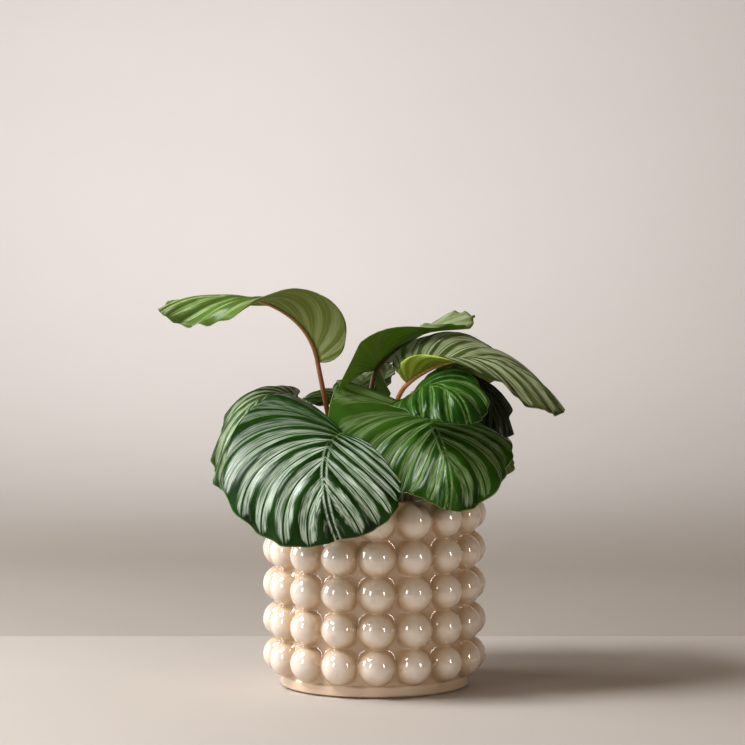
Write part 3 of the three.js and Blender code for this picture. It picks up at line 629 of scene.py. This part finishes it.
# Colours and band widths, where a leaf's differ from the plain look:
# ground, deep   the green between the bands, and its darker patches
# band, streak   the silver bands, and the paler streaks in them
# width, line    half the width of a pair of bands, and of the vein's line, in veins
# lobe, lobe_tint, lobe_bands   the colour of the lobes, its share, and how strong the bands are
#     there, on the right and on the left
PLAIN_LOOK = dict(ground="#2c500e", deep="#173406", band="#5f7848", streak="#98ac80", width=0.32,
                  line=0.04, edge="#5c7838", under="#5a6a22", under_vein="#78863c", lobe="#2c500e",
                  lobe_tint=0.1, lobe_bands=(0.6, 0.6))
LOOKS = {
    1: dict(ground="#173a08", deep="#0a2202", band="#587054", streak="#b8c5b2", width=0.36,
            line=0.045, lobe="#1a3c0a", lobe_tint=0.6, lobe_bands=(0.2, 0.9)),
    2: dict(ground="#2a500a", deep="#143203", band="#42602a", streak="#788c5e", width=0.34,
            line=0.045, edge="#7c9a3a", lobe="#78a844", lobe_tint=0.36, lobe_bands=(1, 0.6)),
    3: dict(ground="#244c0e", deep="#123406", band="#3e6226", streak="#6c8c50", width=0.24),
    # Leaf 4's underside is a bright yellow-green: painted light shining through the thin blade from
    # behind.
    4: dict(ground="#485628", deep="#303e18", band="#7e885f", streak="#a4b08a", width=0.37,
            edge="#8a966a", under="#9aac36", under_vein="#b8c656"),
    # Leaf 5's underside is a brighter, more saturated green than plain olive: painted light shining
    # through the blade.
    5: dict(ground="#80905e", deep="#6a7a4a", band="#8a976e", streak="#98a57c",
            under="#56800c", under_vein="#6c982c"),
    # Leaf 6 is coloured nearly black-green all over: painted shade for the shadow it hangs in.
    6: dict(ground="#131d06", deep="#0a1202", band="#26301a", streak="#38422a", width=0.2),
    7: dict(ground="#526e2c", deep="#42581e", band="#74904e", streak="#9aae76", width=0.22,
            under="#707e34", under_vein="#98a264"),
    8: dict(ground="#364e26", deep="#284016", band="#788a62", streak="#a8b892"),
    9: dict(ground="#2a4814", deep="#1c3408", band="#3a5624", streak="#56703c"),
    10: dict(ground="#5c6e44", deep="#485a32", band="#6c7e52", streak="#7e8e66"),
}
STREAKS = 20  # fine streaks between two veins, about 0.8 mm apart
STREAK_ROWS = 5  # lengths of a streak from the rib to the edge
FRAY = 0.035  # how far the streaks push a band's edge in and out, in veins
PATCH = 22  # between lighter and darker patches of the ground
DRIFT_APART = 7.5  # keeps the drift of a band's width from following its streaks
FINE_VEINS = 4  # veins that show on the underside for each one above
TIMES = dict(kind="ShaderNodeMath", operation="MULTIPLY")
SMOOTH = dict(kind="ShaderNodeMapRange", interpolation_type="SMOOTHSTEP")
v, t = np.meshgrid(np.linspace(0, 1, V_STEPS + 1) ** 2, np.linspace(0, 1, T_STEPS + 1),
                   indexing="ij")
grid = np.arange(v.size).reshape(v.shape)
for number, leaf in enumerate(LEAVES, 1):
    look = {**PLAIN_LOOK, **LOOKS.get(number, {})}
    halves = [blade_points(leaf, side, v, t) for side in (1, -1)]
    places = np.concatenate([points.reshape(-1, 3) for points, _ in halves])
    values = {"vein": np.tile(vein_count(leaf, v).reshape(-1), 2),
              "reach": np.concatenate([t, -t]).reshape(-1),
              "rib_gap": np.concatenate([gap for _, gap in halves]).reshape(-1)}
    faces = sheet(grid) + sheet(grid + grid.size, flip=True)

    # The upper face of a calathea leaf: a waxy skin with a soft gloss, silver bands of air-filled
    # cells along each vein, drawn out in fine streaks.
    upper, tree, surface = material(f"calathea_upper_face_{number}", Roughness=0.24, IOR=1.4,
                                    Specular_IOR_Level=0.22)
    vein, reach, rib_gap = (add(tree, "ShaderNodeAttribute", out="Fac", attribute_name=name)
                            for name in ("vein", "reach", "rib_gap"))
    off_rib = add(tree, "ShaderNodeMath", {0: reach}, operation="ABSOLUTE")
    off_vein = add(tree, "ShaderNodeMath", {0: vein, 1: 0.5}, operation="PINGPONG")
    across = add(tree, inputs={0: vein, 1: STREAKS}, **TIMES)
    outward = add(tree, inputs={0: reach, 1: STREAK_ROWS}, **TIMES)
    streak_at = add(tree, "ShaderNodeCombineXYZ", {0: across, 1: outward, 2: number})
    streaks = add(tree, "ShaderNodeTexNoise", {"Vector": streak_at, "Scale": 1, "Detail": 3})
    drift_at = add(tree, "ShaderNodeCombineXYZ", {0: vein, 1: outward, 2: number + DRIFT_APART})
    drift = add(tree, "ShaderNodeTexNoise", {"Vector": drift_at, "Scale": 0.9, "Detail": 1})

    # A band is widest midway out, drifts a little in width, and is frayed by the streaks.
    widening = add(tree, "ShaderNodeValToRGB", {"Fac": off_rib},
                   stops=[(0, 0.3), (0.12, 0.7), (0.4, 1), (0.78, 1), (0.93, 0.7), (0.992, 0)])
    drifting = add(tree, "ShaderNodeMapRange",
                   {"Value": drift, "From Min": 0.3, "From Max": 0.7,
                    "To Min": 0.84 * look["width"], "To Max": 1.14 * look["width"]})
    half_width = add(tree, inputs={0: widening, 1: drifting}, **TIMES)
    frayed = add(tree, "ShaderNodeMapRange",
                 {"Value": streaks, "From Min": 0.3, "From Max": 0.7,
                  "To Min": -FRAY, "To Max": FRAY})
    band_edge = add(tree, "ShaderNodeMath", {0: half_width, 1: frayed}, operation="ADD")
    in_band = add(tree, "ShaderNodeMath", {0: band_edge, 1: off_vein}, operation="SUBTRACT")

    # Each of these goes smoothly from 0 at the first value to 1 at the second.
    last = leaf.get("veins", VEINS)
    smooth = {
        "banded": (in_band, -0.06, 0.09),
        "past_first_vein": (vein, 0.1, 0.3),
        "before_last_vein": (vein, last - 0.25, last - 0.45),
        "off_vein_line": (off_vein, look["line"] * 0.4, look["line"] * 1.5),
        "past_rib": (rib_gap, 0.8, 1.6),
        "near_rib": (rib_gap, 3.4, 2.0),
        "on_rib": (rib_gap, 1.1, 0.3),
        "tip_half": (vein, last * 0.6, last * 0.85),
        "base_half": (vein, last * 0.75, 1.0),
        "streaky": (streaks, 0.36, 0.66),
        "on_edge": (off_rib, 0.988, 0.996),
    }
    for name, (value, low, high) in smooth.items():
        smooth[name] = add(tree, inputs={"Value": value, "From Min": low, "From Max": high},
                           **SMOOTH)
    right_bands, left_bands = look["lobe_bands"]
    lobe_bands = add(tree, "ShaderNodeMapRange",
                     {"Value": reach, "From Min": -0.02, "From Max": 0.02,
                      "To Min": left_bands, "To Max": right_bands})
    stronger = add(tree, "ShaderNodeMapRange",
                   {"Value": vein, "From Min": 2.2, "From Max": 6, "To Min": lobe_bands})
    silver = smooth["banded"]
    for share in (smooth["past_first_vein"], smooth["before_last_vein"], stronger,
                  smooth["off_vein_line"]):
        silver = add(tree, inputs={0: silver, 1: share}, **TIMES)
    beside_rib = add(tree, inputs={0: smooth["past_rib"], 1: smooth["near_rib"]}, **TIMES)
    beside_rib = add(tree, inputs={0: beside_rib, 1: smooth["tip_half"]}, **TIMES)
    silver = add(tree, "ShaderNodeMath", {0: silver, 1: beside_rib}, operation="MAXIMUM")

    # The colours: the green ground, the silver on it, the tint of the lobes, the rib and the edge.
    place = add(tree, "ShaderNodeTexCoord", out="Object")
    patch = add(tree, "ShaderNodeTexNoise",
                {"Vector": place, "Scale": 1 / (PATCH * MM), "Detail": 2})
    in_patch = add(tree, "ShaderNodeMapRange",
                   {"Value": patch, "From Min": 0.35, "From Max": 0.65})
    green = add(tree, inputs={0: in_patch, 6: linear(look["deep"]), 7: linear(look["ground"])},
                **MIX)
    bands = add(tree, inputs={0: smooth["streaky"], 6: linear(look["band"]),
                              7: linear(look["streak"])}, **MIX)
    in_lobe = add(tree, "ShaderNodeMapRange",
                  {"Value": vein, "From Min": 5.5, "From Max": 0.5, "To Max": look["lobe_tint"]})
    rib = add(tree, inputs={0: smooth["on_rib"], 1: smooth["base_half"]}, **TIMES)
    colour = green
    for share, tone in ((silver, bands), (in_lobe, linear(look["lobe"])),
                        (rib, linear("#6f8c34")), (smooth["on_edge"], linear(look["edge"]))):
        colour = add(tree, inputs={0: share, 6: colour, 7: tone}, **MIX)
    tree.links.new(colour, surface.inputs["Base Color"])
    skin = add(tree, "ShaderNodeBump", {"Height": streaks, "Strength": 0.35, "Distance": 0.25 * MM})
    tree.links.new(skin, surface.inputs["Normal"])

    # The underside: a duller skin, olive, with every vein a little paler.
    # On leaves 4 and 5 these underside greens are brighter: painted light shining through the
    # blade.
    lower, tree, surface = material(f"calathea_underside_{number}", Roughness=0.5, IOR=1.45)
    vein, reach = (add(tree, "ShaderNodeAttribute", out="Fac", attribute_name=name)
                   for name in ("vein", "reach"))
    finer = add(tree, inputs={0: vein, 1: FINE_VEINS}, **TIMES)
    off_vein = add(tree, "ShaderNodeMath", {0: finer, 1: 0.5}, operation="PINGPONG")
    outward = add(tree, inputs={0: reach, 1: STREAK_ROWS}, **TIMES)
    streak_at = add(tree, "ShaderNodeCombineXYZ", {0: finer, 1: outward, 2: number})
    streaks = add(tree, "ShaderNodeTexNoise", {"Vector": streak_at, "Scale": 1.5, "Detail": 3})
    on_vein = add(tree, inputs={"Value": off_vein, "From Min": 0.16, "From Max": 0.02}, **SMOOTH)
    paler = add(tree, inputs={0: on_vein, 1: streaks}, **TIMES)
    olive = add(tree, inputs={0: paler, 6: linear(look["under"]), 7: linear(look["under_vein"])},
                **MIX)
    tree.links.new(olive, surface.inputs["Base Color"])
    ridges = add(tree, "ShaderNodeBump", {"Height": on_vein, "Strength": 0.4, "Distance": 0.3 * MM})
    tree.links.new(ridges, surface.inputs["Normal"])

    blade = shape(f"blade_{number}", places, values, faces, upper, lower,
                  replaces=f"leaf_{number}_blade", slot="leaf")
    thickness = blade.modifiers.new("leaf_thickness", "SOLIDIFY")
    thickness.thickness = BLADE_THICKNESS * MM
    thickness.offset = 0
    thickness.material_offset = 1

# ---- The setting
# A pale board with a straight back edge in a round studio sweep, both painted matt. Two large
# softboxes stand at the left, a narrow one at the front left, a strip at the right, and a lamp
# lights the sweep behind. Sizes here are in metres.
BOARD_BACK = 0.261
BOARD_RADIUS = 2.6
BOARD_POINTS = 60
BOARD_LIFT = 0.0004  # over the sweep
SWEEP_RADIUS = 3.6
SWEEP_CURVE = 2.2
SWEEP_HEIGHT = 3.2
SWEEP_POINTS = 97


def setting_piece(name, points, faces, colours, grain):
    """A surface of the studio, in matt paint that clouds softly between two colours."""
    mesh = bpy.data.meshes.new(name)
    mesh.from_pydata(points, [], faces)
    mesh.shade_smooth()
    paint, tree, surface = material(name + "_matt_paint", Roughness=0.75)
    place = add(tree, "ShaderNodeTexCoord", out="Object")
    clouds = add(tree, "ShaderNodeTexNoise", {"Vector": place, "Scale": 1 / grain, "Detail": 4})
    tone = add(tree, inputs={0: clouds, 6: linear(colours[0]), 7: linear(colours[1])}, **MIX)
    tree.links.new(tone, surface.inputs["Base Color"])
    mesh.materials.append(paint)
    made = bpy.data.objects.new(name, mesh)
    bpy.context.scene.collection.objects.link(made)


board_start = math.asin(BOARD_BACK / BOARD_RADIUS)
board_turns = np.linspace(math.pi - board_start, 2 * math.pi + board_start, BOARD_POINTS)
board_edge = [(BOARD_RADIUS * math.cos(a), BOARD_RADIUS * math.sin(a), 0) for a in board_turns]
setting_piece("board", board_edge, [tuple(range(BOARD_POINTS))], ("#b6aea5", "#beb6ad"), 0.3)
profile = [(0.01, -BOARD_LIFT), (SWEEP_RADIUS - SWEEP_CURVE, -BOARD_LIFT)]
for angle in np.radians(np.arange(6, 91, 6)):
    profile.append((SWEEP_RADIUS - SWEEP_CURVE * (1 - math.sin(angle)),
                    SWEEP_CURVE * (1 - math.cos(angle)) - BOARD_LIFT))
profile.append((SWEEP_RADIUS, SWEEP_HEIGHT))
sweep_turns = np.linspace(0, 2 * math.pi, SWEEP_POINTS)
sweep_points = [(r * math.cos(a), r * math.sin(a), h) for r, h in profile for a in sweep_turns]
sweep_faces = sheet(np.arange(len(sweep_points)).reshape(-1, SWEEP_POINTS), flip=True)
setting_piece("sweep", sweep_points, sweep_faces, ("#a69e94", "#aca49a"), 0.5)


def softbox(name, place, aim, width, height, power, colour):
    """A light that the camera doesn't see, turned towards aim."""
    light = bpy.data.lights.new(name, "AREA")
    light.shape = "RECTANGLE"
    light.size, light.size_y = width, height
    light.energy = power
    light.color = linear(colour)[:3]
    made = bpy.data.objects.new(name, light)
    made.location = place
    made.rotation_euler = (Vector(aim) - Vector(place)).to_track_quat("-Z", "Y").to_euler()
    made.visible_camera = False
    bpy.context.scene.collection.objects.link(made)


softbox("key", (-1.2, -0.48, 1.6), (0, 0, 0.2), 0.7, 0.7, 46, "#fcfdff")
softbox("left", (-1.75, 0.25, 0.6), (0, 0, 0.15), 0.8, 0.8, 22, "#fafcff")
softbox("front_left", (-1.3, -1.5, 0.65), (0, 0, 0.15), 0.4, 0.8, 7, "#fcfdff")
softbox("strip", (1.3, -1.25, 0.5), (0, 0, 0.12), 0.08, 0.55, 4.5, "#fff8ee")
softbox("sweep_lamp", (-0.3, 1.7, 1.5), (-0.1, 3.4, 0.5), 0.8, 0.8, 45, "#edf2ff")

world = bpy.data.worlds.new("studio_air")
world.use_nodes = True
world.node_tree.nodes["Background"].inputs["Color"].default_value = linear("#8c6a40")
world.node_tree.nodes["Background"].inputs["Strength"].default_value = 0.54
bpy.context.scene.world = world
bpy.context.scene.view_settings.view_transform = "Standard"

PHOTO_WIDTH = 745
FOCUS = 3000  # the lens's focal length in pixels of the photo
SENSOR = 36  # millimetres
CAMERA_PITCH = 3.4  # degrees down
lens = bpy.data.cameras.new("photo_view")
lens.sensor_width = SENSOR
lens.lens = FOCUS / PHOTO_WIDTH * SENSOR
lens.clip_end = 50
viewer = bpy.data.objects.new("photo_view", lens)
viewer.location = (-0.0016, -2.4088, 0.3953)
viewer.rotation_euler = (math.radians(90 - CAMERA_PITCH), 0, 0)
bpy.context.scene.collection.objects.link(viewer)
bpy.context.scene.camera = viewer
